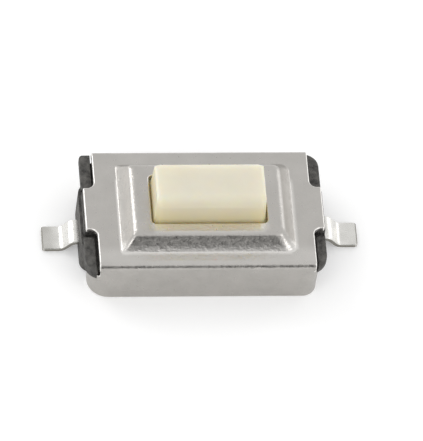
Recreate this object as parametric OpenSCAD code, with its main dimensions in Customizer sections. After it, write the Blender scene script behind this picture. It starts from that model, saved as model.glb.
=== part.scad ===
// Surface-mount tactile push button switch: a folded sheet cover over a moulded base,
// with a sprung button between them and one bent terminal at each end.
// The origin is the centre of the footprint on the board, +X runs along the terminals.

/* [Body] */
// Length of the cover from end tab to end tab
cover_l = 6.0; // [5.8:0.1:6.6]
// Depth of the cover from its front wall to its back wall
cover_w = 3.6; // [3.4:0.1:4.2]
// Height of the cover's flat plate above the board
plate_z = 1.35; // [1.2:0.05:1.6]
// Height of the body's underside above the board
standoff = 0.03; // [0.01:0.01:0.1]

/* [Cover sheet] */
// Thickness of the cover's sheet
sheet_t = 0.15; // [0.1:0.01:0.18]
// Inside radius of the folds and pressed edges
bend_in = 0.03; // [0.01:0.01:0.05]
// Height of the plateau above the plate
plateau_h = 0.4; // [0.3:0.05:0.6]
// Horizontal run of the plateau's slopes
slope_run = 0.3; // [0.2:0.05:0.35]
// Flat metal between the opening and the plateau's ends
rim_x = 0.43; // [0.3:0.01:0.5]
// Flat metal between the opening and the plateau's long edges
rim_y = 0.23; // [0.2:0.01:0.32]

/* [Cover ends] */
// Length of the plate between the corner notches
plate_l = 5.44; // [5.3:0.02:5.6]
// Width of each end tab
tab_w = 1.28; // [1:0.02:1.5]
// Radius in the inner corner of each notch
notch_r = 0.18; // [0.05:0.01:0.25]
// Depth of the slits that carry the notches down the walls, from the plate's top
slit_d = 0.4; // [0.35:0.01:0.5]
// Distance from the centre to the outside of the bands that wrap round the base's left corners
wrap_left = 2.94; // [2.86:0.02:2.96]
// Outside radius of the left wrapped corners
wrap_left_r = 0.54; // [0.4:0.02:0.6]
// Distance from the centre to the outside of the bands that wrap round the base's right corners
wrap_right = 2.82; // [2.76:0.02:2.96]
// Outside radius of the right wrapped corners
wrap_right_r = 0.36; // [0.3:0.02:0.6]
// Clear width between the ends of the wraps
wrap_gap = 2.25; // [2.1:0.05:2.4]

/* [Button] */
// Length of the button
button_l = 2.74; // [2.6:0.02:2.95]
// Width of the button
button_w = 1.32; // [1.1:0.01:1.35]
// Height of the button's press face above the board
button_z = 2.5; // [2.3:0.1:4.3]
// Radius of the button's upright corners
button_r = 0.15; // [0.05:0.01:0.3]
// Radius of the press face's long edges
edge_long_r = 0.28; // [0.1:0.01:0.4]
// Radius of the press face's short edges
edge_short_r = 0.08; // [0.03:0.01:0.2]
// Clearance between the button and the opening, all round
button_gap = 0.08; // [0.03:0.01:0.1]
// Thickness of the flange that keeps the button in
flange_t = 0.3; // [0.2:0.01:0.35]
// Clearance between the flange and the inside of the plateau
flange_gap = 0.04; // [0.02:0.01:0.06]
// Diameter of the foot that presses the dome
foot_d = 1.0; // [0.6:0.05:1.2]
// Travel of the button
travel = 0.25; // [0.15:0.01:0.3]
// Play between the resting button and the pieces above and below it
play = 0.01; // [0.005:0.005:0.03]

/* [Contact dome] */
// Thickness of the dome's sheet
dome_t = 0.07; // [0.05:0.01:0.08]
// Clearance between the dome and the wall of the well
dome_gap = 0.05; // [0.02:0.01:0.08]

/* [Base] */
// Length over the end walls
base_l = 6.06; // [6.02:0.01:6.4]
// Width of the part of each end wall that stands out between the wraps
end_w = 2.06; // [1.8:0.02:2.08]
// Corner radius of that part
end_r = 0.3; // [0.1:0.01:0.4]
// Length over the corner blocks
block_l = 6.04; // [6.02:0.01:6.2]
// Corner radius of the front corner blocks
block_front_r = 0.5; // [0.3:0.01:0.6]
// Corner radius of the block at the back right
block_back_r = 0.38; // [0.3:0.01:0.6]
// Corner radius of the block at the back left, which is left squarer
key_r = 0.1; // [0.05:0.01:0.3]
// Drop from the plate's top to the top of the corner blocks
block_drop = 0.2; // [0.18:0.01:0.3]
// Undercut of the base below the edges of the plate
shadow_gap = 0.12; // [0.05:0.01:0.2]
// Clearance between the base and the cover's walls
seat_gap = 0.02; // [0.01:0.01:0.03]
// Clearance between the flange and the wall of the well
well_gap = 0.1; // [0.06:0.01:0.12]
// Corner radius of the well
well_r = 0.3; // [0.1:0.05:0.5]
// Diameter of the moulding pin holes below the terminals
pin_hole_d = 0.5; // [0.3:0.05:0.6]
// Distance of the pin holes from the centre
pin_hole_x = 1.5; // [1.4:0.05:1.6]

/* [Terminals] */
// Length over the two solder feet
lead_span = 7.96; // [7.8:0.02:9]
// Width of each lead
lead_w = 0.7; // [0.5:0.02:0.76]
// Thickness of the terminal sheet
lead_t = 0.12; // [0.08:0.01:0.14]
// Height of the middle of the leads where they leave the base
lead_z = 0.35; // [0.3:0.01:0.4]
// Length of each flat solder foot
foot_l = 0.38; // [0.3:0.02:0.5]
// Horizontal run of the slanted part of each lead, between the corners of its two bends
bend_run = 0.24; // [0.1:0.01:0.3]
// Inside radius of the bends in the leads
lead_bend_in = 0.2; // [0.04:0.01:0.22]
// Corner radius at the tip of each foot
foot_r = 0.06; // [0.02:0.01:0.1]
// Width of each arm of the outer contact
arm_w = 0.26; // [0.15:0.01:0.28]
// Clearance between the arms and the wall of the well
arm_gap = 0.12; // [0.08:0.01:0.14]
// Length of the web that joins the two arms
web_l = 0.5; // [0.4:0.05:0.7]
// Radius of the raised centre contact
contact_r = 0.25; // [0.15:0.01:0.3]
// Height of the raised centre contact
contact_h = 0.03; // [0.02:0.01:0.05]

/* [Hidden] */
$fn = 64;
// Overrun that takes a cut clear through a face
past = 1;

// Slope of the plateau, and how far its crown moves in from the sheet's top to its underside
slope = atan(plateau_h / slope_run);
crown_in = sheet_t * tan(slope / 2);
bend_out = bend_in + sheet_t;

opening_l = button_l + 2 * button_gap;
opening_w = button_w + 2 * button_gap;
crown_l = opening_l + 2 * rim_x;
crown_w = opening_w + 2 * rim_y;
flange_l = crown_l - 2 * crown_in - 2 * flange_gap;
flange_w = crown_w - 2 * crown_in - 2 * flange_gap;
well_l = flange_l + 2 * well_gap;
well_w = flange_w + 2 * well_gap;
dome_l = well_l - 2 * dome_gap;
dome_w = well_w - 2 * dome_gap;

plate_under = plate_z - sheet_t;
slit_z = plate_z - slit_d;
block_z = plate_z - block_drop;
plateau_under = plate_under + plateau_h;
flange_z = plateau_under - play;
floor_z = lead_z + lead_t / 2;
dome_rise = travel + contact_h;
dome_top = floor_z + dome_rise + dome_t;

// Inside radius of the dome, whose flat foot stands on the floor of the well
dome_r = (pow(dome_l / 2 - dome_t, 2) + pow(dome_rise, 2)) / (2 * dome_rise);

// Bends of the leads: their angle, and how far each bend's corner lies from where it begins
lead_drop = lead_z - lead_t / 2;
lead_slope = atan(lead_drop / bend_run);
lead_mitre = lead_t / 2 * tan(lead_slope / 2);
bend_reach = (lead_bend_in + lead_t / 2) * tan(lead_slope / 2);

// Piece between the corner q of an outline, whose neighbours are p and s, and a tangent arc
module corner(p, q, s, r) {
  u = (p - q) / norm(p - q);
  v = (s - q) / norm(s - q);
  half = acos(u * v) / 2;
  reach = r / tan(half);
  centre = q + (u + v) / norm(u + v) * r / sin(half);
  difference() {
    polygon([q, q + u * reach, centre, q + v * reach]);
    translate(centre) circle(r);
  }
}

module rounded_box_2d(l, w, r) {
  union() {
    square([l - 2 * r, w], center = true);
    square([l, w - 2 * r], center = true);
    for (x = [-1, 1], y = [-1, 1]) translate([x * (l / 2 - r), y * (w / 2 - r)]) circle(r);
  }
}

module rounded_box(l, w, r, z0, z1) {
  translate([0, 0, z0]) linear_extrude(z1 - z0) rounded_box_2d(l, w, r);
}

module each_corner() {
  for (x = [0, 1], y = [0, 1]) mirror([x, 0]) mirror([0, y]) children();
}

// Hat-shaped section: flat at height z out to half the width, with the plateau's trapezium on it
module hat(half, crown, z, fold_r, crown_r, brim_r) {
  p = [
    [-half, -past], [-half, z], [-crown - slope_run, z], [-crown, z + plateau_h],
    [crown, z + plateau_h], [crown + slope_run, z], [half, z], [half, -past]
  ];
  difference() {
    union() {
      polygon(p);
      corner(p[1], p[2], p[3], brim_r);
      corner(p[4], p[5], p[6], brim_r);
    }
    corner(p[2], p[3], p[4], crown_r);
    corner(p[3], p[4], p[5], crown_r);
    if (fold_r > 0) {
      corner(p[0], p[1], p[2], fold_r);
      corner(p[5], p[6], p[7], fold_r);
    }
  }
}

// Solid under one face of the sheet: the section across the body crossed with the one along it
module under_skin(l, w, crown_half_l, crown_half_w, z, fold_r, crown_r, brim_r) {
  intersection() {
    rotate([90, 0, 90]) translate([0, 0, -l / 2]) linear_extrude(l)
      hat(w / 2, crown_half_w, z, fold_r, crown_r, brim_r);
    rotate([90, 0, 0]) translate([0, 0, -w / 2]) linear_extrude(w)
      hat(l / 2, crown_half_l, z, 0, crown_r, brim_r);
  }
}

module outer_skin() {
  under_skin(cover_l, cover_w, crown_l / 2, crown_w / 2, plate_z, bend_out, bend_out, bend_in);
}

module inner_skin() {
  under_skin(
    cover_l + 2 * past, cover_w - 2 * sheet_t, crown_l / 2 - crown_in, crown_w / 2 - crown_in,
    plate_under, bend_in, bend_in, bend_out
  );
}

// Plan of the plate: full length over the tabs, shorter beside them, with rounded inner corners
module plate_2d() {
  nook = [plate_l / 2, tab_w / 2];
  difference() {
    square([cover_l, cover_w], center = true);
    each_corner() difference() {
      translate(nook) square([past, cover_w]);
      corner(nook + [past, 0], nook, nook + [0, past], notch_r);
    }
  }
}

// Plan of the lower body, set in from the outside of the wrapped bands
module low_2d(inset) {
  x = [-wrap_left + inset, wrap_right - inset];
  y = cover_w / 2 - inset;
  r = [wrap_left_r - inset, wrap_right_r - inset];
  difference() {
    translate([x[0], -y]) square([x[1] - x[0], 2 * y]);
    for (end = [0, 1], side = [-1, 1])
      corner([0, side * y], [x[end], side * y], [x[end], 0], r[end]);
  }
}

// Lower band of the walls, which turns in round the corners of the base
module band_2d() {
  difference() {
    low_2d(0);
    low_2d(sheet_t);
    square([cover_l + past, wrap_gap], center = true);
  }
}

module cover() {
  color([0.71, 0.7, 0.68]) {
    difference() {
      intersection() {
        outer_skin();
        translate([0, 0, slit_z]) linear_extrude(plate_z) plate_2d();
      }
      inner_skin();
      rounded_box(opening_l, opening_w, button_r + button_gap, plate_z, plate_z + plateau_h + past);
    }
    translate([0, 0, standoff]) linear_extrude(slit_z - standoff) band_2d();
  }
}

// Outline of the button seen along its length, rounded at the press face
module stem_2d(w, r) {
  top = button_z;
  p = [[-w / 2, flange_z - flange_t], [-w / 2, top], [w / 2, top], [w / 2, flange_z - flange_t]];
  difference() {
    polygon(p);
    corner(p[0], p[1], p[2], r);
    corner(p[1], p[2], p[3], r);
  }
}

module button() {
  color([0.92, 0.89, 0.78]) {
    intersection() {
      rounded_box(button_l, button_w, button_r, flange_z - flange_t, button_z);
      rotate([90, 0, 90]) translate([0, 0, -button_l / 2]) linear_extrude(button_l)
        stem_2d(button_w, edge_long_r);
      rotate([90, 0, 0]) translate([0, 0, -button_w / 2]) linear_extrude(button_w)
        stem_2d(button_l, edge_short_r);
    }
    rounded_box(flange_l, flange_w, button_r + button_gap, flange_z - flange_t, flange_z);
    translate([0, 0, dome_top + play])
      cylinder(h = flange_z - flange_t / 2 - dome_top - play, d = foot_d);
  }
}

module contact_dome() {
  color([0.75, 0.75, 0.72])
    intersection() {
      translate([0, 0, floor_z + dome_rise - dome_r]) difference() {
        sphere(dome_r + dome_t);
        sphere(dome_r);
      }
      translate([0, 0, floor_z]) linear_extrude(dome_rise + dome_t + past) intersection() {
        circle(d = dome_l);
        square([dome_l, dome_w], center = true);
      }
    }
}

// Side view of a lead: level, slanted down and level again on the board, with rounded bends
module lead_2d(root) {
  tip = lead_span / 2;
  x2 = tip - foot_l - bend_reach;
  x1 = x2 - bend_run;
  top = [
    [root, lead_z + lead_t / 2], [x1 + lead_mitre, lead_z + lead_t / 2],
    [x2 + lead_mitre, lead_t], [tip, lead_t]
  ];
  under = [
    [root, lead_z - lead_t / 2], [x1 - lead_mitre, lead_z - lead_t / 2],
    [x2 - lead_mitre, 0], [tip, 0]
  ];
  difference() {
    union() {
      polygon([each top, under[3], under[2], under[1], under[0]]);
      corner(under[0], under[1], under[2], lead_bend_in);
      corner(top[1], top[2], top[3], lead_bend_in);
    }
    corner(top[0], top[1], top[2], lead_bend_in + lead_t);
    corner(under[1], under[2], under[3], lead_bend_in + lead_t);
  }
}

// Gull-wing lead at the +X end, from inside the end wall to the tip of the foot
module lead() {
  tip = lead_span / 2;
  difference() {
    translate([0, lead_w / 2, 0]) rotate([90, 0, 0]) linear_extrude(lead_w) lead_2d(well_l / 2 - arm_gap);
    for (y = [-1, 1]) translate([0, 0, -past]) linear_extrude(2 * past)
      corner([0, y * lead_w / 2], [tip, y * lead_w / 2], [tip, 0], foot_r);
  }
}

// The outer contact: a web across the left end of the well and an arm along each side
module terminal_left() {
  arm_y = well_w / 2 - arm_gap;
  web_x = -well_l / 2 + arm_gap;
  color([0.85, 0.85, 0.83]) {
    mirror([1, 0, 0]) lead();
    translate([0, 0, lead_z - lead_t / 2]) linear_extrude(lead_t) union() {
      translate([web_x, -arm_y]) square([web_l, 2 * arm_y]);
      for (y = [-arm_y, arm_y - arm_w]) translate([web_x, y]) square([-2 * web_x, arm_w]);
    }
  }
}

// The centre contact: a strip that ends in a raised pad below the dome
module terminal_right() {
  color([0.85, 0.85, 0.83]) {
    lead();
    translate([0, 0, lead_z - lead_t / 2]) linear_extrude(lead_t) union() {
      translate([0, -lead_w / 2]) square([well_l / 2, lead_w]);
      circle(d = lead_w);
    }
    translate([0, 0, lead_z]) cylinder(h = lead_t / 2 + contact_h, r = contact_r);
  }
}

// Plan of the corner blocks, three of them well rounded
module blocks_2d() {
  half = [block_l / 2, cover_w / 2];
  difference() {
    square(2 * half, center = true);
    for (x = [-1, 1], y = [-1, 1])
      corner([0, y * half.y], [x * half.x, y * half.y], [x * half.x, 0],
        y < 0 ? block_front_r : x < 0 ? key_r : block_back_r);
  }
}

module base_body() {
  low_w = cover_w - 2 * sheet_t - 2 * seat_gap;
  low_z = slit_z + seat_gap;
  core_l = plate_l - 2 * shadow_gap;
  core_w = cover_w - 2 * sheet_t - 2 * max(bend_in, seat_gap);
  translate([0, 0, standoff]) linear_extrude(low_z - standoff) low_2d(sheet_t + seat_gap);
  rounded_box(base_l, end_w, end_r, standoff, block_z);
  difference() {
    translate([0, 0, low_z]) linear_extrude(block_z - low_z) blocks_2d();
    for (y = [-1, 1]) translate([0, y * (low_w + past) / 2, 0])
      cube([plate_l + 2 * seat_gap, past, 2 * (plate_z + past)], center = true);
  }
  translate([-core_l / 2, -core_w / 2, low_z]) cube([core_l, core_w, plate_under - low_z]);
  translate([-base_l / 2, -tab_w / 2 + seat_gap, block_z - seat_gap])
    cube([base_l, tab_w - 2 * seat_gap, plate_under - block_z + seat_gap]);
}

module base() {
  color([0.2, 0.2, 0.2])
    difference() {
      base_body();
      rounded_box(well_l, well_w, well_r, floor_z, plate_z);
      terminal_left();
      terminal_right();
      for (x = [-pin_hole_x, pin_hole_x])
        translate([x, 0, 0]) cylinder(h = lead_z, d = pin_hole_d);
    }
}

cover();
button();
contact_dome();
base();
terminal_left();
terminal_right();
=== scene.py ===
import math
import bmesh
import bpy
import numpy as np
from mathutils import Matrix, Vector
from mathutils.geometry import delaunay_2d_cdt


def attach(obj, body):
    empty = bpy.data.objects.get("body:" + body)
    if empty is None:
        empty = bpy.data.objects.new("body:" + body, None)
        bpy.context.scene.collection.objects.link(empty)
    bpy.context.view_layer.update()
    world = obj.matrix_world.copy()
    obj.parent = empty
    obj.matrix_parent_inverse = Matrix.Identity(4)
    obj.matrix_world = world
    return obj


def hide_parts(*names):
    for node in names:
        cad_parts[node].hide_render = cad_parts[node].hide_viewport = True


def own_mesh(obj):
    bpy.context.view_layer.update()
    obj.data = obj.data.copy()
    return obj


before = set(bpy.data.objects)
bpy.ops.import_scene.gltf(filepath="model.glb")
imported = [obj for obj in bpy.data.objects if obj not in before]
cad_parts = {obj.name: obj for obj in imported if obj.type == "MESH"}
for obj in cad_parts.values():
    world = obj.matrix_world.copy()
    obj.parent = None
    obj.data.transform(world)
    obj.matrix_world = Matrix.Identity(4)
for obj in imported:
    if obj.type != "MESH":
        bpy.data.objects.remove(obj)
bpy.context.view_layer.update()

MM = 0.001

# A length in mm that is too small to see
HAIR = 1e-4

# Sizes in mm, the same as the part's own
COVER_L, COVER_W = 6.0, 3.6
PLATE_Z, STANDOFF = 1.35, 0.03
SHEET_T, BEND_IN = 0.15, 0.03
PLATEAU_H, SLOPE_RUN = 0.4, 0.3
RIM_X, RIM_Y = 0.43, 0.23
PLATE_L, TAB_W, NOTCH_R, SLIT_D = 5.44, 1.28, 0.18, 0.4
WRAP_LEFT, WRAP_LEFT_R = 2.94, 0.54
WRAP_RIGHT, WRAP_RIGHT_R = 2.82, 0.36
WRAP_GAP = 2.25
BUTTON_L, BUTTON_W, BUTTON_Z, BUTTON_R = 2.74, 1.32, 2.5, 0.15
EDGE_LONG_R, EDGE_SHORT_R, BUTTON_GAP = 0.28, 0.08, 0.08
FLANGE_T, FLANGE_GAP, FOOT_D = 0.3, 0.04, 1.0
TRAVEL, PLAY = 0.25, 0.01
DOME_T, DOME_GAP = 0.07, 0.05
BASE_L, END_W, END_R = 6.06, 2.06, 0.3
BLOCK_L, BLOCK_FRONT_R, BLOCK_BACK_R, KEY_R, BLOCK_DROP = 6.04, 0.5, 0.38, 0.1, 0.2
SHADOW_GAP, SEAT_GAP, WELL_GAP, WELL_R = 0.12, 0.02, 0.1, 0.3
PIN_HOLE_D, PIN_HOLE_X = 0.5, 1.5
LEAD_SPAN, LEAD_W, LEAD_T, LEAD_Z = 7.96, 0.7, 0.12, 0.35
FOOT_L, BEND_RUN, LEAD_BEND_IN, FOOT_R = 0.38, 0.24, 0.2, 0.06
ARM_W, ARM_GAP, WEB_L = 0.26, 0.12, 0.5
CONTACT_R, CONTACT_H = 0.25, 0.03

# Sizes that follow from them
BEND_OUT = BEND_IN + SHEET_T
SLOPE = math.atan2(PLATEAU_H, SLOPE_RUN)
CROWN_IN = SHEET_T * math.tan(SLOPE / 2)
OPENING_L = BUTTON_L + 2 * BUTTON_GAP
OPENING_W = BUTTON_W + 2 * BUTTON_GAP
CROWN_L = OPENING_L + 2 * RIM_X
CROWN_W = OPENING_W + 2 * RIM_Y
FLANGE_L = CROWN_L - 2 * CROWN_IN - 2 * FLANGE_GAP
FLANGE_W = CROWN_W - 2 * CROWN_IN - 2 * FLANGE_GAP
WELL_L = FLANGE_L + 2 * WELL_GAP
WELL_W = FLANGE_W + 2 * WELL_GAP
SLIT_Z = PLATE_Z - SLIT_D
PLATE_UNDER = PLATE_Z - SHEET_T
BLOCK_Z = PLATE_Z - BLOCK_DROP
FLANGE_Z = PLATE_UNDER + PLATEAU_H - PLAY
FLOOR_Z = LEAD_Z + LEAD_T / 2
DOME_RISE = TRAVEL + CONTACT_H
DOME_TOP = FLOOR_Z + DOME_RISE + DOME_T

# Small departures of the photographed switch from the part's own sizes. A spread is how much further in the
# plateau's crown ends, and the factor on the distance outside it
BUTTON_SHIFT = (0.065, -0.035, 0)
OPENING_SHIFT, OPENING_R = (0.065, -0.02), 0.1
PLATEAU_SHIFT, PLATEAU_GROWTH = (0.03, -0.0225), 0.0675
LEFT_SPREAD, RIGHT_SPREAD = (0.045, 0.93), (0.035, 0.904)
HIP_LEFT, HIP_RIGHT = 0.1, 0.24
SLOPE_BULGE = math.radians(-8)
LEFT_SLIT_DROP, LEFT_BLOCK_X, LEFT_BLOCK_R, LEFT_END_SHIFT = 0.14, 3.05, 0.4, 0.06
RIGHT_LEAD_SHIFT = (0, 0.07, 0)
GROOVE_X, GROOVE_Y, GROOVE_DROP = 0.05, 0.1, 0.13

# The camera, fitted to the photograph
RIGHT = Vector((0.9935, -0.0721, 0.09))
UP = Vector((0.0055, 0.809, 0.5877))
PX_PER_MM = 40.0
DISTANCE = 220
TARGET_RIGHT_PX, TARGET_UP_PX = 7.9, -10.5
IMAGE_W = 423

# The floor and the studio round it. The dark area fades in between two cosines of the angle from its middle
FLOOR_TONE, FLOOR_GLOW = 0.8, 0.26
STUDIO_TONE, DARK_TONE = 0.88, 0.02
DARK_PLACE, DARK_EDGE, DARK_MIDDLE = (0, -0.98, 0.2), 0.86, 0.985


def make_camera():
    camera = bpy.data.objects.new("camera", bpy.data.cameras.new("camera"))
    bpy.context.scene.collection.objects.link(camera)
    camera.data.sensor_fit = "HORIZONTAL"
    camera.data.sensor_width = 36
    camera.data.lens = PX_PER_MM * camera.data.sensor_width * DISTANCE / IMAGE_W
    camera.data.clip_start = 0.01
    camera.data.clip_end = 10
    right = RIGHT.normalized()
    up = (UP - UP.dot(right) * right).normalized()
    back = right.cross(up)
    target = Vector((0, 0, BUTTON_Z / 2)) + (TARGET_RIGHT_PX * right + TARGET_UP_PX * up) / PX_PER_MM
    rotation = Matrix((right, up, back)).transposed().to_4x4()
    camera.matrix_world = Matrix.Translation((target + back * DISTANCE) * MM) @ rotation
    bpy.context.scene.camera = camera


# Outlines

def fillet(points, step):
    """Closed outline through (x, y, radius) corners, its arcs and edges cut into short steps."""
    count = len(points)
    outline = []
    for i in range(count):
        before = np.array(points[i - 1][:2])
        here = np.array(points[i][:2])
        after = np.array(points[(i + 1) % count][:2])
        radius = points[i][2]
        u = (before - here) / np.linalg.norm(before - here)
        v = (after - here) / np.linalg.norm(after - here)
        half = math.acos(max(-1, min(1, u @ v))) / 2
        reach = radius / math.tan(half)
        centre = here + (u + v) / np.linalg.norm(u + v) * radius / math.sin(half)
        start = here + u * reach - centre
        end = here + v * reach - centre
        sweep = math.atan2(start[0] * end[1] - start[1] * end[0], start @ end)
        pieces = max(4, math.ceil(abs(sweep) * radius / step))
        for k in range(pieces + 1):
            a = sweep * k / pieces
            turn = np.array(((math.cos(a), -math.sin(a)), (math.sin(a), math.cos(a))))
            outline.append(centre + turn @ start)
    dense = []
    for i, here in enumerate(outline):
        after = outline[(i + 1) % len(outline)]
        length = np.linalg.norm(after - here)
        if length < 1e-6:
            continue
        pieces = max(1, math.ceil(length / step))
        dense.extend(here + (after - here) * k / pieces for k in range(pieces))
    return np.array(dense)


def box_outline(length, width, r, step=0.05):
    """Rounded rectangle about the middle."""
    x, y = length / 2, width / 2
    return fillet([(-x, -y, r), (x, -y, r), (x, y, r), (-x, y, r)], step)


def inward(outline):
    """Unit vectors to the left of a closed outline, into its material, at each point."""
    ahead = np.roll(outline, -1, axis=0) - outline
    ahead /= np.linalg.norm(ahead, axis=1)[:, None]
    left = np.stack((-ahead[:, 1], ahead[:, 0]), axis=1)
    mean = left + np.roll(left, 1, axis=0)
    return mean / np.linalg.norm(mean, axis=1)[:, None]


def inside(points, outline):
    """Which points lie inside a closed outline."""
    x, y = points[:, 0], points[:, 1]
    found = np.zeros(len(points), bool)
    for (x0, y0), (x1, y1) in zip(outline, np.roll(outline, -1, axis=0)):
        if y0 == y1:
            continue
        across = (y0 > y) != (y1 > y)
        found ^= across & (x < x0 + (y - y0) * (x1 - x0) / (y1 - y0))
    return found


def fade(values, start, end):
    """Straight fade of the values, from 0 at the start to 1 at the end."""
    return np.clip((values - start) / (end - start), 0, 1)


# Pieces

def make_mesh(name, points, faces, normals=None):
    mesh = bpy.data.meshes.new(name)
    mesh.from_pydata([tuple(p) for p in np.asarray(points) * MM], [], faces)
    mesh.polygons.foreach_set("use_smooth", [True] * len(mesh.polygons))
    if normals is not None:
        mesh.normals_split_custom_set_from_vertices([tuple(n) for n in normals])
    mesh.update()
    obj = bpy.data.objects.new(name, mesh)
    bpy.context.scene.collection.objects.link(obj)
    return obj


def add_mask(obj, values):
    """Marks bare metal and painted light, from 0 to 1, on each point of the mesh."""
    obj.data.attributes.new("bare_and_painted_light", "FLOAT", "POINT").data.foreach_set("value", values)


def stand_for(obj, body, node, material):
    """Makes the piece stand for a node of the frame, riding on its body."""
    obj.data.materials.append(material)
    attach(obj, body)
    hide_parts(node)


def sharpen(obj, angle=40):
    """Keeps the edges that turn by more than the angle, in degrees, sharp in the smooth shading."""
    work = bmesh.new()
    work.from_mesh(obj.data)
    for edge in work.edges:
        edge.smooth = len(edge.link_faces) == 2 and edge.calc_face_angle() < math.radians(angle)
    work.to_mesh(obj.data)
    work.free()


def level(outline, z):
    """The outline's points at the height z."""
    return np.column_stack((outline, np.full(len(outline), z)))


def loft(rings):
    """Closed mesh through rings of equal length, from the lowest to the highest, with flat ends."""
    count = len(rings[0])
    faces = []
    for k in range(len(rings) - 1):
        a, b = k * count, (k + 1) * count
        for i in range(count):
            j = (i + 1) % count
            faces.append((a + i, a + j, b + j, b + i))
    faces.append(tuple(range(count - 1, -1, -1)))
    top = (len(rings) - 1) * count
    faces.append(tuple(range(top, top + count)))
    return np.concatenate(rings), faces


def edge_sections(z0, z1, low_r, top_r):
    """Insets and heights up a wall, whose lower and upper edges can be rounded."""
    quarter = [math.radians(degrees) for degrees in (0, 30, 60, 90)]
    sections = [(0, z0)]
    if low_r > 0:
        sections = [(low_r * (1 - math.sin(a)), z0 + low_r * (1 - math.cos(a))) for a in quarter]
    if top_r > 0:
        sections += [(top_r * (1 - math.cos(a)), z1 - top_r * (1 - math.sin(a))) for a in quarter]
    else:
        sections.append((0, z1))
    return sections


def prism(outline, z0, z1, top_r=0.0):
    """Upright prism whose upper edge can be rounded."""
    left = inward(outline)
    return loft([level(outline + left * inset, z) for inset, z in edge_sections(z0, z1, 0, top_r)])


def join(parts):
    """One mesh from the points and faces of several."""
    points, faces, start = [], [], 0
    for part_points, part_faces in parts:
        points.append(part_points)
        faces.extend(tuple(i + start for i in face) for face in part_faces)
        start += len(part_points)
    return np.concatenate(points), faces


# Cover: a flat blank, whose points (u, s) fold into the sheet's outer and inner faces

FLAT = COVER_W / 2 - BEND_OUT
FOLD = BEND_OUT * math.pi / 2
S_SLIT = FLAT + FOLD + PLATE_Z - BEND_OUT - SLIT_Z
S_END = FLAT + FOLD + PLATE_Z - BEND_OUT - STANDOFF
FOOT_FILLET = 0.05
RAMP_STEPS = 24
CUT_R = 0.035
BLANK_STEP, BLANK_CLEAR, BLANK_CORNER_R = 0.035, 0.012, 0.04

# Distances outside the crown between which the blank's points have these spacings, and u where the bands turn
RAMP_MARKS, RAMP_SPACINGS = (-0.1, 0.1, 0.24, 0.36), (0.018, 0.04, 0.012)
TURN_U, LAST_U = 2.4, 3.4

# Painted highlights on the sheet, from 0 to 1: lighter along the plateau's foot, on its rim, down its front
# slope, on top and at the front; and the places in mm from which and to which each grows
FOOT_HIGHLIGHT, FOOT_HIGHLIGHT_W, FOOT_HIGHLIGHT_Y = 0.75, 0.025, (0.9, 0.8)
RIM_HIGHLIGHT, RIM_HIGHLIGHT_D = 0.95, (0.3 * RIM_Y, -0.7 * RIM_Y)
RIM_HIGHLIGHT_X, RIM_HIGHLIGHT_Y = (1.5, 4 / 3), (-0.6, -0.8)
SLOPE_HIGHLIGHT, SLOPE_HIGHLIGHT_Y, SLOPE_HIGHLIGHT_POWER = 0.8, (-1.0, -1.125), 1.6
TOP_HIGHLIGHT = 0.17
FRONT_HIGHLIGHT, FRONT_HIGHLIGHT_Y = 0.18, (-1.15, -1.4)


def ramp_profile():
    """Section of the plateau's slope: distances outside the crown, heights and angles of the outer face."""
    first, last = SLOPE - SLOPE_BULGE, SLOPE + SLOPE_BULGE
    drop = PLATEAU_H - BEND_OUT * (1 - math.cos(first)) - FOOT_FILLET * (1 - math.cos(last))
    radius = drop / (math.cos(first) - math.cos(last))
    angles, places = [0.0], [(0.0, PLATEAU_H)]
    for start, end, bend in ((0, first, BEND_OUT), (first, last, radius), (last, 0, -FOOT_FILLET)):
        for k in range(1, RAMP_STEPS + 1):
            a = start + (end - start) * k / RAMP_STEPS
            before = angles[-1]
            d, z = places[-1]
            d += bend * (math.sin(a) - math.sin(before))
            z += bend * (math.cos(a) - math.cos(before))
            places.append((d, z))
            angles.append(a)
    places = np.array(places)
    middle = np.interp(PLATEAU_H / 2, places[::-1, 1], places[::-1, 0])
    return places[:, 0] - middle + SLOPE_RUN / 2, places[:, 1], np.array(angles)


RAMP_D, RAMP_Z, RAMP_ANGLE = ramp_profile()


def crown_distance(x, y):
    """Distance outside the plateau's crown, blended over its hips."""
    a = np.abs(x - PLATEAU_SHIFT[0]) - CROWN_L / 2
    a = np.where(x < 0, (a + LEFT_SPREAD[0]) * LEFT_SPREAD[1], (a + RIGHT_SPREAD[0]) * RIGHT_SPREAD[1])
    b = np.abs(y - PLATEAU_SHIFT[1]) - CROWN_W / 2 - PLATEAU_GROWTH
    hip = np.where(x < 0, HIP_LEFT, HIP_RIGHT)
    blend = np.clip(1 - np.abs(a - b) / hip, 0, None)
    return np.maximum(a, b) + blend ** 2 * hip / 4


def plateau(x, y, depth):
    """Height over the plate of the sheet's outer face, or of the face the depth below it."""
    across = RAMP_D - depth * np.sin(RAMP_ANGLE)
    height = RAMP_Z - depth * (np.cos(RAMP_ANGLE) - 1)
    return np.interp(crown_distance(x, y), across, height)


def wrapped(u, depth):
    """Plan of the lower band at the blank's u: along the wall, round the corner, across the end."""
    reach = np.where(u < 0, WRAP_LEFT, WRAP_RIGHT)
    radius = np.where(u < 0, WRAP_LEFT_R, WRAP_RIGHT_R)
    run = np.abs(u) - (reach - radius)
    turn = np.clip(run / radius, 0, math.pi / 2)
    past = np.clip(run - radius * math.pi / 2, 0, None)
    x = np.where(run < 0, np.abs(u), reach - radius + (radius - depth) * np.sin(turn))
    y = COVER_W / 2 - radius + (radius - depth) * np.cos(turn) - past
    return np.sign(u) * x, y


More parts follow.
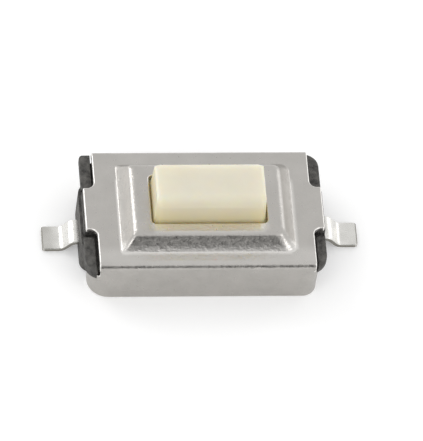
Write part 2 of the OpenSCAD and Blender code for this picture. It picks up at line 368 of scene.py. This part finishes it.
def skin(u, s, inner):
    """Place of the blank's points (u, s) on the sheet's outer or inner face."""
    side = np.where(s < 0, -1.0, 1.0)
    a = np.abs(s)
    depth = SHEET_T if inner else 0.0
    top = PLATE_Z - depth + plateau(u, s, depth)
    turn = np.clip((a - FLAT) / BEND_OUT, 0, math.pi / 2)
    down = np.clip(a - FLAT - FOLD, 0, None)
    y = np.where(a < FLAT, a, FLAT + (BEND_OUT - depth) * np.sin(turn))
    z = np.where(a < FLAT, top, PLATE_Z - BEND_OUT + (BEND_OUT - depth) * np.cos(turn) - down)
    share = np.clip(down / (S_SLIT - FLAT - FOLD), 0, 1)
    share = share * share * (3 - 2 * share)
    band_x, band_y = wrapped(u, depth)
    x = u + (band_x - u) * share
    y = y + (band_y - y) * share
    return np.column_stack((x, side * y, z))


def skin_normals(u, s):
    """Unit normals of the outer face, from points a step h to each side."""
    h = 0.002
    along = skin(u + h, s, False) - skin(u - h, s, False)
    across = skin(u, s + h, False) - skin(u, s - h, False)
    n = np.cross(along, across)
    return n / np.linalg.norm(n, axis=1)[:, None]


def blank_end(reach, radius):
    """How far the blank's lower band reaches along u, to its end behind the corner."""
    return reach - radius + radius * math.pi / 2 + COVER_W / 2 - radius - WRAP_GAP / 2


def blank_outlines():
    """Outer outline of the blank, anticlockwise, and its opening, clockwise."""
    left, right = -blank_end(WRAP_LEFT, WRAP_LEFT_R), blank_end(WRAP_RIGHT, WRAP_RIGHT_R)
    tab, plate, half = TAB_W / 2, PLATE_L / 2, COVER_L / 2
    small = BLANK_CORNER_R
    back = [
        (half, tab, small), (plate, tab, NOTCH_R), (plate, S_SLIT, small), (right, S_SLIT, small),
        (right, S_END, small), (left, S_END, small), (left, S_SLIT, small), (-plate, S_SLIT, small),
        (-plate, tab, NOTCH_R), (-half, tab, small),
    ]
    front = [(u, -s - LEFT_SLIT_DROP * (u < 0 and s == S_SLIT), r) for u, s, r in reversed(back)]
    outer = fillet(back + front, BLANK_STEP)
    opening = box_outline(OPENING_L, OPENING_W, OPENING_R, BLANK_STEP)[::-1] + OPENING_SHIFT
    return outer, opening


def steps(marks, spacings):
    """Points along a line with a spacing between each two marks, the same on both sides of 0."""
    line = []
    for start, end, spacing in zip(marks, marks[1:], spacings):
        pieces = max(1, round((end - start) / spacing))
        line.extend(start + (end - start) * k / pieces for k in range(pieces))
    line.append(marks[-1])
    return sorted([-v for v in line if v > 0] + line)


def blank_mesh(loops):
    """Points of the blank inside its loops, the loops' own first, and the triangles between them."""
    x, y = CROWN_L / 2, CROWN_W / 2 + PLATEAU_GROWTH
    us = steps([0, *(x + mark for mark in RAMP_MARKS), TURN_U, LAST_U], [0.1, *RAMP_SPACINGS, 0.08, 0.045])
    ss = steps(
        [0, *(y + mark for mark in RAMP_MARKS), FLAT, FLAT + FOLD, S_SLIT, S_END],
        [0.1, *RAMP_SPACINGS, 0.08, 0.02, 0.045, 0.12],
    )
    grid = np.array([(u, s) for u in us for s in ss])
    grid = grid[inside(grid, loops[0]) & ~inside(grid, loops[1])]
    border = np.concatenate(loops)
    gap = np.full(len(grid), np.inf)
    for point in border:
        gap = np.minimum(gap, np.hypot(grid[:, 0] - point[0], grid[:, 1] - point[1]))
    grid = grid[gap > BLANK_CLEAR]
    return np.concatenate((border, grid)), cap_faces(loops, [grid])


def cover_painted_light(x, y):
    """Painted highlights on the sheet at the plateau's foot, rim and front slope, on top and at the front."""
    distance = crown_distance(x, y)
    foot_d = RAMP_D[-1]
    foot = FOOT_HIGHLIGHT * np.exp(-((distance - foot_d) / FOOT_HIGHLIGHT_W) ** 2) * fade(y, *FOOT_HIGHLIGHT_Y)
    rim = RIM_HIGHLIGHT * fade(distance, *RIM_HIGHLIGHT_D) * fade(y, *RIM_HIGHLIGHT_Y)
    rim *= fade(np.abs(x - OPENING_SHIFT[0]), *RIM_HIGHLIGHT_X)
    slope = SLOPE_HIGHLIGHT * fade(distance, 0, foot_d) ** SLOPE_HIGHLIGHT_POWER * (distance < foot_d)
    slope *= fade(y, *SLOPE_HIGHLIGHT_Y)
    top = TOP_HIGHLIGHT * fade(np.abs(y), FLAT + FOLD, FLAT)
    top += FRONT_HIGHLIGHT * fade(y, *FRONT_HIGHLIGHT_Y) * (y > -FLAT - FOLD / 2)
    return np.max((foot, rim, slope, top), axis=0)


def make_cover(material):
    outlines = blank_outlines()
    flat, triangles = blank_mesh([outline + inward(outline) * CUT_R for outline in outlines])
    count = len(flat)
    face_normals = skin_normals(flat[:, 0], flat[:, 1])
    points = [skin(flat[:, 0], flat[:, 1], False), skin(flat[:, 0], flat[:, 1], True)]
    normals = [face_normals, -face_normals]
    faces = [tuple(t) for t in triangles.tolist()]
    faces += [(a + count, c + count, b + count) for a, b, c in triangles.tolist()]

    # The cut edges, rounded from the outer face down to the inner one
    total = 2 * count
    start = 0
    for edge in outlines:
        size = len(edge)
        left = inward(edge)
        within = edge + left * CUT_R / 8
        outward = skin(edge[:, 0], edge[:, 1], False) - skin(within[:, 0], within[:, 1], False)
        outward /= np.linalg.norm(outward, axis=1)[:, None]
        facing = skin_normals(edge[:, 0], edge[:, 1])
        rows = [np.arange(start, start + size)]
        for degrees, side in ((30, 1), (60, 1), (90, 1), (90, -1), (60, -1), (30, -1)):
            a = math.radians(degrees)
            moved = edge + left * CUT_R * (1 - math.sin(a))
            outer_row = skin(moved[:, 0], moved[:, 1], False)
            inner_row = skin(moved[:, 0], moved[:, 1], True)
            share = CUT_R * (1 - math.cos(a)) / SHEET_T
            points.append(outer_row + (inner_row - outer_row) * (share if side > 0 else 1 - share))
            normals.append(facing * side * math.cos(a) + outward * math.sin(a))
            rows.append(np.arange(total, total + size))
            total += size
        rows.append(np.arange(start + count, start + count + size))
        for upper, lower in zip(rows, rows[1:]):
            for i in range(size):
                j = (i + 1) % size
                faces.append((int(upper[i]), int(lower[i]), int(lower[j]), int(upper[j])))
        start += size
    cover = make_mesh("cover_sheet", np.concatenate(points), faces, np.concatenate(normals))
    # Painted light: the bare cut edges are painted fully light for their highlight, and both faces carry the
    # painted highlights of the plateau and plate
    bare_edges_and_highlights = np.ones(total)
    bare_edges_and_highlights[:2 * count] = np.tile(cover_painted_light(flat[:, 0], flat[:, 1]), 2)
    add_mask(cover, bare_edges_and_highlights)
    stand_for(cover, "housing", "cover", material)


# Button

CORNER_STEPS = 10
DRAFT = 0.035


def corner_angles():
    """Angles round the four corners of a rounded rectangle, from the lower left one."""
    turns = [90 * i / CORNER_STEPS for i in range(CORNER_STEPS + 1)]
    return [math.radians(start + turn) for start in (180, 270, 360, 450) for turn in turns]


def rounded(half_l, half_w, r):
    """Rounded rectangle with the same number of points whatever its size."""
    ring = []
    for i, a in enumerate(corner_angles()):
        side_x, side_y = ((-1, -1), (1, -1), (1, 1), (-1, 1))[i // (CORNER_STEPS + 1)]
        ring.append((side_x * (half_l - r) + r * math.cos(a), side_y * (half_w - r) + r * math.sin(a)))
    return np.array(ring)


def make_button(material):
    stem = rounded(BUTTON_L / 2, BUTTON_W / 2, BUTTON_R)
    face = rounded(BUTTON_L / 2 - EDGE_SHORT_R, BUTTON_W / 2 - EDGE_LONG_R, EDGE_SHORT_R)
    flange = rounded(FLANGE_L / 2, FLANGE_W / 2, BUTTON_R + BUTTON_GAP)
    foot = rounded(FOOT_D / 2, FOOT_D / 2, FOOT_D / 2)
    edge, foot_in, flange_in = 0.02, 0.96, 0.99
    foot_z = DOME_TOP + PLAY
    low = FLANGE_Z - FLANGE_T
    rings = [
        level(foot * foot_in, foot_z), level(foot, foot_z + edge), level(foot, low),
        level(flange * flange_in, low), level(flange, low + edge),
        level(flange, FLANGE_Z - edge), level(flange * flange_in, FLANGE_Z),
        level(stem + stem / np.abs(stem) * DRAFT, FLANGE_Z),
    ]
    along = np.array([abs(math.sin(a)) for a in corner_angles()])
    drop = EDGE_SHORT_R + (EDGE_LONG_R - EDGE_SHORT_R) * along * along * (3 - 2 * along)
    for degrees in range(0, 91, 6):
        a = math.radians(degrees)
        plan = stem + (face - stem) * (1 - math.cos(a))
        rings.append(np.column_stack((plan, BUTTON_Z - drop * (1 - math.sin(a)))))
    points, faces = loft(rings)
    button = make_mesh("button_cap", points + BUTTON_SHIFT, faces)
    sharpen(button)
    stand_for(button, "plunger", "button", material)


# Contact dome

def make_dome(material):
    length, width = WELL_L - 2 * DOME_GAP, WELL_W - 2 * DOME_GAP
    inner_r = ((length / 2 - DOME_T) ** 2 + DOME_RISE ** 2) / (2 * DOME_RISE)
    turns, rounds = 72, 24
    tops, lows = [], []
    centre_z = FLOOR_Z + DOME_RISE - inner_r
    for k in range(1, rounds + 1):
        for i in range(turns):
            a = 2 * math.pi * i / turns
            reach = min(length / 2, width / 2 / max(abs(math.sin(a)), 1e-9)) * k / rounds
            x, y = reach * math.cos(a), reach * math.sin(a)
            tops.append((x, y, centre_z + math.sqrt((inner_r + DOME_T) ** 2 - reach ** 2)))
            lows.append((x, y, max(FLOOR_Z, centre_z + math.sqrt(inner_r ** 2 - reach ** 2))))
    count = turns * rounds
    points = tops + lows + [(0, 0, DOME_TOP), (0, 0, DOME_TOP - DOME_T)]
    faces = []
    for i in range(turns):
        j = (i + 1) % turns
        faces.append((2 * count, i, j))
        faces.append((2 * count + 1, count + j, count + i))
        for k in range(rounds - 1):
            a, b = k * turns, (k + 1) * turns
            faces.append((a + i, b + i, b + j, a + j))
            faces.append((count + a + j, count + b + j, count + b + i, count + a + i))
        a = (rounds - 1) * turns
        faces.append((a + i, count + a + i, count + a + j, a + j))
    dome = make_mesh("snap_dome", points, faces)
    sharpen(dome)
    stand_for(dome, "housing", "contact_dome", material)
    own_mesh(dome)


# Base

BLOCK_EDGE_R, FLOOR_EDGE_R, END_EDGE_R, SHELF_EDGE_R = 0.035, 0.03, 0.04, 0.015
CORE_R, SHELF_R, SHELF_DROP = 0.05, 0.03, 0.1
END_DEPTH, END_RISE = 0.9, 0.01


def cap_faces(loops, others=()):
    """Triangles inside an outline and outside its holes, from their points and any others."""
    flat = np.concatenate([*loops, *others])
    edges, start = [], 0
    for loop in loops:
        edges.extend((start + i, start + (i + 1) % len(loop)) for i in range(len(loop)))
        start += len(loop)
    result = delaunay_2d_cdt([Vector(p) for p in flat], edges, [], 0, 1e-7)
    source = [ids[0] for ids in result[3]]
    triangles = np.array([[source[i] for i in face] for face in result[2]])
    middles = flat[triangles].mean(axis=1)
    kept = inside(middles, loops[0])
    for hole in loops[1:]:
        kept &= ~inside(middles, hole)
    return triangles[kept]


def slab(outline, z0, z1, holes=(), low_r=0.0, top_r=0.0):
    """Closed upright slab with holes through it and rounded outer edges."""
    sections = edge_sections(z0, z1, low_r, top_r)
    left = inward(outline)
    turned = [hole[::-1] for hole in holes]
    rings = []
    for inset, z in sections:
        rings.append(level(np.concatenate([outline + left * inset] + turned), z))
    count = len(rings[0])
    faces = []
    start = 0
    for size in [len(outline)] + [len(hole) for hole in holes]:
        for k in range(len(rings) - 1):
            a, b = start + k * count, start + (k + 1) * count
            faces.extend((a + i, a + (i + 1) % size, b + (i + 1) % size, b + i) for i in range(size))
        start += size
    low = cap_faces([outline + left * sections[0][0]] + turned)
    top = cap_faces([outline + left * sections[-1][0]] + turned) + (len(rings) - 1) * count
    faces += [(a, c, b) for a, b, c in low.tolist()]
    faces += [tuple(face) for face in top.tolist()]
    return np.concatenate(rings), faces


def arc(x, y, radius, first, last, pieces=10):
    """Points of an arc from the first angle to the last one, in degrees."""
    turns = [math.radians(first + (last - first) * k / pieces) for k in range(pieces + 1)]
    return [(x + radius * math.cos(a), y + radius * math.sin(a)) for a in turns]


def low_outline(inset):
    """Plan of the base below its blocks, the inset away from the bands' outer face."""
    left_x, right_x, y = -WRAP_LEFT + inset, WRAP_RIGHT - inset, COVER_W / 2 - inset
    left, right = WRAP_LEFT_R - inset, WRAP_RIGHT_R - inset
    corners = [(left_x, -y, left), (right_x, -y, right), (right_x, y, right), (left_x, y, left)]
    return fillet(corners, step=0.05)


def blocks_outline():
    """Level with the four corner blocks, which end beside the cover's two walls."""
    x, y = BLOCK_L / 2, COVER_W / 2
    wall_x, wall_y = PLATE_L / 2 + SEAT_GAP, y - SHEET_T - SEAT_GAP
    front = 270 - math.degrees(math.acos((y - BLOCK_FRONT_R - wall_front_y(wall_x)) / -BLOCK_FRONT_R))
    back = math.degrees(math.acos((wall_x - x + BLOCK_BACK_R) / BLOCK_BACK_R))
    tall_x, tall_y = BASE_L / 2, END_W / 2 - END_R
    step_y = tall_y + 0.1
    return np.array(
        [(wall_x, -wall_y)]
        + arc(x - BLOCK_FRONT_R, BLOCK_FRONT_R - y, BLOCK_FRONT_R, 540 - front, 360)
        + [(x, -step_y), (tall_x, -tall_y), (tall_x, tall_y), (x, step_y)]
        + arc(x - BLOCK_BACK_R, y - BLOCK_BACK_R, BLOCK_BACK_R, 0, back)
        + [(wall_x, wall_y), (-wall_x, wall_y), (-wall_x, y)]
        + arc(KEY_R - x, y - KEY_R, KEY_R, 90, 180)
        + [(-x, step_y), (-tall_x, tall_y), (-tall_x, -tall_y), (-x, -step_y)]
        + arc(BLOCK_FRONT_R - x, BLOCK_FRONT_R - y, BLOCK_FRONT_R, 180, front)
        + [(-wall_x, -wall_y)]
    )


def block_tops():
    """Upper parts of the four corner blocks, the front left one first, clear of the plate and its tabs."""
    y = COVER_W / 2
    near_y = TAB_W / 2 + GROOVE_Y
    corners = (
        (-1, -1, LEFT_BLOCK_X, LEFT_BLOCK_R), (1, -1, BLOCK_L / 2, BLOCK_FRONT_R),
        (1, 1, BLOCK_L / 2, BLOCK_BACK_R), (-1, 1, BLOCK_L / 2, KEY_R),
    )
    tops = []
    for side_x, side_y, x, radius in corners:
        near_x = PLATE_L / 2 + (GROOVE_X if side_y < 0 else SEAT_GAP)
        last = math.degrees(math.acos(max(0, near_x - x + radius) / radius))
        corner = arc(x - radius, y - radius, radius, 0, last)
        inner = arc(near_x + NOTCH_R / 2, near_y + NOTCH_R / 2, NOTCH_R / 2, 180, 270, 6)
        if corner[-1][0] > near_x + HAIR:
            corner.append((near_x, corner[-1][1]))
        outline = np.array(corner + inner + [(x, near_y)]) * (side_x, side_y)
        tops.append(outline if side_x * side_y > 0 else outline[::-1])
    return tops


def wall_front_y(wall_x):
    """How deep the front blocks' rounding has come in beside the cover's wall."""
    across = wall_x - BLOCK_L / 2 + BLOCK_FRONT_R
    return COVER_W / 2 - BLOCK_FRONT_R + math.sqrt(BLOCK_FRONT_R ** 2 - across ** 2)


def make_base(material):
    low_z = SLIT_Z + SEAT_GAP
    core_l = PLATE_L - 2 * SHADOW_GAP
    core_w = COVER_W - 2 * SHEET_T - 2 * max(BEND_IN, SEAT_GAP)
    low = low_outline(SHEET_T + SEAT_GAP)
    well = box_outline(WELL_L, WELL_W, WELL_R)
    pin = box_outline(PIN_HOLE_D, PIN_HOLE_D, PIN_HOLE_D / 2 - HAIR)
    end = box_outline(END_DEPTH, END_W, END_R)
    shelf = box_outline(END_DEPTH, TAB_W - 2 * SEAT_GAP, SHELF_R)
    parts = [
        slab(low, STANDOFF, LEAD_Z, [pin + (PIN_HOLE_X, 0), pin - (PIN_HOLE_X, 0)], FLOOR_EDGE_R),
        slab(low, LEAD_Z, FLOOR_Z),
        slab(low, FLOOR_Z, low_z, [well]),
        slab(blocks_outline(), low_z, BLOCK_Z - GROOVE_DROP, [well]),
        slab(box_outline(core_l, core_w, CORE_R), BLOCK_Z - GROOVE_DROP, PLATE_UNDER, [well]),
    ]
    for outline, drop in zip(block_tops(), (LEFT_SLIT_DROP, 0, 0, 0)):
        parts.append(slab(outline, low_z - drop, BLOCK_Z, (), 0, BLOCK_EDGE_R))
    for side in (-1, 1):
        centre = (side * (BASE_L - END_DEPTH) / 2, 0)
        out = (LEFT_END_SHIFT * (side < 0), 0)
        parts.append(slab(end + centre - out, STANDOFF, low_z + END_RISE, (), END_EDGE_R))
        parts.append(slab(shelf + centre, BLOCK_Z - SHELF_DROP, PLATE_UNDER, (), 0, SHELF_EDGE_R))
    base = make_mesh("moulded_base", *join(parts))
    sharpen(base)
    stand_for(base, "housing", "base", material)


# Terminals

STRIP_LOW_R, STRIP_TOP_R = 0.015, 0.03
# The bare cut tip's width in mm; the feet turn darker towards the tip between these distances in mm, by the
# amounts below for each lead
CUT_TIP, TIP_DARK_X = 0.02, (0.4, 0.15)
LEFT_TIP_DARK, RIGHT_TIP_DARK = 0.4, 0.1
LEAD_BEND_STEPS = 14


def lead_path(root):
    """Middle line of the right lead in its side view, from inside the base to the foot's tip."""
    drop = LEAD_Z - LEAD_T / 2
    tip = LEAD_SPAN / 2
    slope = math.atan2(drop, BEND_RUN)
    radius = LEAD_BEND_IN + LEAD_T / 2
    reach = radius * math.tan(slope / 2)
    foot = tip - FOOT_L
    start = foot - 2 * reach - BEND_RUN
    path = [(root, LEAD_Z), ((root + start) / 2, LEAD_Z)]
    turns = [slope * k / LEAD_BEND_STEPS for k in range(LEAD_BEND_STEPS + 1)]
    path += [(start + radius * math.sin(a), LEAD_Z - radius * (1 - math.cos(a))) for a in turns]
    path += [(foot - radius * math.sin(a), LEAD_T / 2 + radius * (1 - math.cos(a))) for a in reversed(turns)]
    path.append(((foot + tip) / 2, LEAD_T / 2))
    path += [(tip - FOOT_R + FOOT_R * math.sin(math.radians(15 * k)), LEAD_T / 2) for k in range(7)]
    return np.array(path)


def lead_mesh(root):
    """The right lead's strip: a rounded section carried along its middle line, narrowing at the tip."""
    path = lead_path(root)
    ahead = np.gradient(path, axis=0)
    ahead /= np.linalg.norm(ahead, axis=1)[:, None]
    tip = LEAD_SPAN / 2
    corners = (
        (-1, -1, STRIP_LOW_R, 180), (1, -1, STRIP_LOW_R, 270),
        (1, 1, STRIP_TOP_R, 0), (-1, 1, STRIP_TOP_R, 90),
    )
    rings = []
    for (x, z), (ahead_x, ahead_z) in zip(path, ahead):
        half = LEAD_W / 2
        if x > tip - FOOT_R:
            half -= FOOT_R - math.sqrt(max(0, FOOT_R ** 2 - (x - tip + FOOT_R) ** 2))
        section = []
        for side, high, r, first in corners:
            for k in range(5):
                a = math.radians(first + 22.5 * k)
                y = side * (half - r) + r * math.cos(a)
                h = high * (LEAD_T / 2 - r) + r * math.sin(a)
                section.append((x - ahead_z * h, y, z + ahead_x * h))
        rings.append(np.array(section))
    return loft(rings)


def lead_mask(points, tip_dark):
    """Bare metal where the strip was cut, along its two sides and at its tip, and darker towards the foot's
    tip.
    """
    side = np.abs(np.abs(points[:, 1]) - LEAD_W / 2) < 10 * HAIR
    tip = LEAD_SPAN / 2 - np.abs(points[:, 0])
    return np.maximum((side | (tip < CUT_TIP)).astype(float), tip_dark * fade(tip, *TIP_DARK_X))


def mirrored(part):
    """The part's mirror image across the middle, its faces turned to face outwards."""
    points, faces = part
    return points * (-1, 1, 1), [tuple(reversed(face)) for face in faces]


def make_terminals(material):
    low, high = LEAD_Z - LEAD_T / 2, FLOOR_Z
    small = 0.01
    x, y = WELL_L / 2 - ARM_GAP, WELL_W / 2 - ARM_GAP
    fork = fillet([
        (-x, -y, small), (x, -y, small), (x, -y + ARM_W, small), (WEB_L - x, -y + ARM_W, small),
        (WEB_L - x, y - ARM_W, small), (x, y - ARM_W, small), (x, y, small), (-x, y, small),
    ], step=0.08)
    left = join([mirrored(lead_mesh(x)), prism(fork, low, high)])
    half = LEAD_W / 2
    round_r = half - 10 * HAIR
    strip_x = x + 0.2
    strip = fillet([
        (-half, -half, round_r), (strip_x, -half, small), (strip_x, half, small), (-half, half, round_r),
    ], step=0.05)
    pad = box_outline(2 * CONTACT_R, 2 * CONTACT_R, CONTACT_R - HAIR, step=0.03)
    right = join([lead_mesh(x), prism(strip, low, high), prism(pad, LEAD_Z, high + CONTACT_H, small)])
    leads = (
        ("lead_left", left, "terminal_left", (0, 0, 0), LEFT_TIP_DARK),
        ("lead_right", right, "terminal_right", RIGHT_LEAD_SHIFT, RIGHT_TIP_DARK),
    )
    for name, (points, faces), node, shift, tip_dark in leads:
        lead = make_mesh(name, points + shift, faces)
        sharpen(lead)
        add_mask(lead, lead_mask(points, tip_dark))
        stand_for(lead, "housing", node, material)


# Materials

NOISE_LOW, NOISE_HIGH = 0.3, 0.7
MIX_FIRST, MIX_SECOND, MIX_RESULT = 6, 7, 2


def new_material(name):
    material = bpy.data.materials.new(name)
    material.use_nodes = True
    tree = material.node_tree
    return material, tree, tree.nodes["Principled BSDF"]


def add(tree, kind, **values):
    node = tree.nodes.new(kind)
    for key, value in values.items():
        setattr(node, key, value)
    return node


def in_mm(tree):
    """The object's own coordinates, in mm."""
    place = add(tree, "ShaderNodeTexCoord")
    scale = add(tree, "ShaderNodeVectorMath", operation="SCALE")
    scale.inputs["Scale"].default_value = 1 / MM
    tree.links.new(place.outputs["Object"], scale.inputs[0])
    return scale.outputs["Vector"]


def noise(tree, vector, scale, detail=3.0, rough=0.5):
    node = add(tree, "ShaderNodeTexNoise")
    node.inputs["Scale"].default_value = scale
    node.inputs["Detail"].default_value = detail
    node.inputs["Roughness"].default_value = rough
    tree.links.new(vector, node.inputs["Vector"])
    return node.outputs["Fac"]


def ranged(tree, value, low, high, start=NOISE_LOW, end=NOISE_HIGH, kind="LINEAR"):
    """Turns values from the start to the end into values from low to high."""
    node = add(tree, "ShaderNodeMapRange", interpolation_type=kind)
    node.inputs["From Min"].default_value = start
    node.inputs["From Max"].default_value = end
    node.inputs["To Min"].default_value = low
    node.inputs["To Max"].default_value = high
    tree.links.new(value, node.inputs["Value"])
    return node.outputs["Result"]


def bump(tree, height, strength, distance, before=None):
    node = add(tree, "ShaderNodeBump")
    node.inputs["Strength"].default_value = strength
    node.inputs["Distance"].default_value = distance * MM
    tree.links.new(height, node.inputs["Height"])
    if before is not None:
        tree.links.new(before, node.inputs["Normal"])
    return node.outputs["Normal"]


def two_tone(tree, value, dark, light):
    """Colours from the dark one to the light one over the usual range of a noise."""
    node = add(tree, "ShaderNodeValToRGB")
    first, last = node.color_ramp.elements
    first.position, last.position = NOISE_LOW, NOISE_HIGH
    first.color, last.color = (*dark, 1), (*light, 1)
    tree.links.new(value, node.inputs["Fac"])
    return node.outputs["Color"]


def changed(tree, colour, other, share):
    """The colour, changed to the other one as the share goes from 0 to 1."""
    node = add(tree, "ShaderNodeMix", data_type="RGBA")
    tree.links.new(share, node.inputs["Factor"])
    tree.links.new(colour, node.inputs[MIX_FIRST])
    node.inputs[MIX_SECOND].default_value = (*other, 1)
    return node.outputs[MIX_RESULT]


def bare_and_painted_light_mask(tree):
    return add(tree, "ShaderNodeAttribute", attribute_name="bare_and_painted_light").outputs["Fac"]


def sheet_steel():
    material, tree, shader = new_material("cover_metal")
    place = in_mm(tree)
    grain = noise(tree, place, 11, 2, 0.6)
    patches = noise(tree, place, 2.2, 3)
    plated = two_tone(tree, patches, (0.415, 0.40, 0.377), (0.46, 0.443, 0.418))
    # Painted highlights: lighter where the mask marks the plateau's foot, rim, front slope, top and front,
    # and on the bare cut edges, which are painted lighter for their highlight
    colour = changed(tree, plated, (0.85, 0.83, 0.8), bare_and_painted_light_mask(tree))
    tree.links.new(colour, shader.inputs["Base Color"])
    shader.inputs["Metallic"].default_value = 1
    tree.links.new(ranged(tree, grain, 0.27, 0.38), shader.inputs["Roughness"])
    normal = bump(tree, grain, 0.8, 0.014)
    tree.links.new(bump(tree, patches, 0.3, 0.02, normal), shader.inputs["Normal"])
    return material


def cream_plastic():
    """Cream with painted shade: darker and more yellow from the top down to the plateau."""
    material, tree, shader = new_material("button_plastic")
    place = in_mm(tree)
    patches = noise(tree, place, 1.5, 3)
    grain = noise(tree, place, 30, 3)
    colour = two_tone(tree, patches, (0.69, 0.66, 0.555), (0.72, 0.69, 0.58))
    axes = add(tree, "ShaderNodeSeparateXYZ")
    tree.links.new(place, axes.inputs["Vector"])
    # Painted shade: the colour turns darker and more yellow from near the top down to the plateau, where the
    # button stands in its opening
    depth = ranged(tree, axes.outputs["Z"], 0, 1, BUTTON_Z - 0.05, PLATE_Z + PLATEAU_H)
    tree.links.new(changed(tree, colour, (0.74, 0.64, 0.37), depth), shader.inputs["Base Color"])
    shader.inputs["Roughness"].default_value = 0.42
    shader.inputs["Subsurface Weight"].default_value = 1.0
    shader.inputs["Subsurface Radius"].default_value = (1.0, 0.8, 0.45)
    shader.inputs["Subsurface Scale"].default_value = 0.7 * MM
    tree.links.new(bump(tree, grain, 0.2, 0.004), shader.inputs["Normal"])
    return material


def dark_plastic():
    material, tree, shader = new_material("base_plastic")
    place = in_mm(tree)
    lumps = noise(tree, place, 6, 5, 0.7)
    grain = noise(tree, place, 26, 4, 0.6)
    colour = two_tone(tree, lumps, (0.012, 0.011, 0.01), (0.125, 0.12, 0.11))
    tree.links.new(colour, shader.inputs["Base Color"])
    shader.inputs["Roughness"].default_value = 0.6
    normal = bump(tree, grain, 0.5, 0.02)
    tree.links.new(bump(tree, lumps, 0.8, 0.06, normal), shader.inputs["Normal"])
    return material


def tin_plating():
    material, tree, shader = new_material("lead_metal")
    place = in_mm(tree)
    grain = noise(tree, place, 16, 4)
    patches = noise(tree, place, 3, 3)
    plated = two_tone(tree, patches, (0.70, 0.69, 0.66), (0.82, 0.81, 0.78))
    # Darker on the bare cut sides and tip, and darker towards the foot's tip, more on the left lead than the
    # right
    colour = changed(tree, plated, (0.28, 0.27, 0.24), bare_and_painted_light_mask(tree))
    tree.links.new(colour, shader.inputs["Base Color"])
    shader.inputs["Metallic"].default_value = 1
    tree.links.new(ranged(tree, grain, 0.2, 0.34), shader.inputs["Roughness"])
    tree.links.new(bump(tree, patches, 0.3, 0.02), shader.inputs["Normal"])
    return material


def spring_steel():
    material, tree, shader = new_material("dome_metal")
    place = in_mm(tree)
    grain = noise(tree, place, 20, 3)
    colour = two_tone(tree, grain, (0.62, 0.61, 0.59), (0.68, 0.67, 0.65))
    tree.links.new(colour, shader.inputs["Base Color"])
    shader.inputs["Metallic"].default_value = 1
    shader.inputs["Roughness"].default_value = 0.22
    return material


def floor_material():
    """Pale floor that looks a little brighter than it lights the object."""
    material, tree, shader = new_material("floor")
    shader.inputs["Base Color"].default_value = (FLOOR_TONE, FLOOR_TONE, FLOOR_TONE, 1)
    shader.inputs["Roughness"].default_value = 0.9
    shader.inputs["Emission Color"].default_value = (1, 1, 1, 1)
    path = add(tree, "ShaderNodeLightPath")
    mirrors = add(tree, "ShaderNodeMath", operation="MAXIMUM")
    tree.links.new(path.outputs["Is Glossy Ray"], mirrors.inputs[0])
    tree.links.new(path.outputs["Is Transmission Ray"], mirrors.inputs[1])
    seen = add(tree, "ShaderNodeMath", operation="MAXIMUM")
    tree.links.new(mirrors.outputs[0], seen.inputs[0])
    tree.links.new(path.outputs["Is Camera Ray"], seen.inputs[1])
    glow = add(tree, "ShaderNodeMath", operation="MULTIPLY")
    tree.links.new(seen.outputs[0], glow.inputs[0])
    glow.inputs[1].default_value = FLOOR_GLOW
    tree.links.new(glow.outputs[0], shader.inputs["Emission Strength"])
    return material


# Studio

def make_floor():
    bpy.ops.mesh.primitive_plane_add(size=2)
    floor = bpy.context.object
    floor.name = "floor"
    floor.data.materials.append(floor_material())


def make_world():
    """A pale studio with a soft dark area low in front, which the plateau's front slope mirrors."""
    world = bpy.data.worlds.new("world")
    bpy.context.scene.world = world
    world.use_nodes = True
    tree = world.node_tree
    background = tree.nodes["Background"]
    place = add(tree, "ShaderNodeTexCoord")
    toward = add(tree, "ShaderNodeVectorMath", operation="DOT_PRODUCT")
    toward.inputs[1].default_value = Vector(DARK_PLACE).normalized()
    tree.links.new(place.outputs["Generated"], toward.inputs[0])
    cosine = toward.outputs["Value"]
    shade = ranged(tree, cosine, STUDIO_TONE, DARK_TONE, DARK_EDGE, DARK_MIDDLE, "SMOOTHSTEP")
    tree.links.new(shade, background.inputs["Strength"])
    background.inputs["Color"].default_value = (1, 1, 1, 1)


def add_lamp(name, direction, size, radiance):
    """Round soft lamp half a metre away, as bright as radiance times white."""
    distance = 0.5
    light = bpy.data.lights.new(name, "AREA")
    light.shape = "DISK"
    light.size = size
    light.energy = radiance * math.pi * math.pi * size * size / 4
    lamp = bpy.data.objects.new(name, light)
    bpy.context.scene.collection.objects.link(lamp)
    place = Vector(direction).normalized() * distance
    lamp.matrix_world = Matrix.Translation(place) @ place.to_track_quat("Z", "Y").to_matrix().to_4x4()


make_camera()
make_cover(sheet_steel())
make_button(cream_plastic())
make_base(dark_plastic())
make_terminals(tin_plating())
make_dome(spring_steel())
make_floor()
make_world()
add_lamp("left_lamp", (-0.62, 0.55, 0.5), 0.3, 2.3)
add_lamp("right_lamp", (0.76, 0.57, 0.33), 0.3, 0.8)
add_lamp("front_left_lamp", (-0.65, -0.55, 0.5), 0.2, 2.6)
add_lamp("front_right_lamp", (0.65, -0.55, 0.5), 0.2, 2.6)
bpy.context.scene.view_settings.view_transform = "Standard"
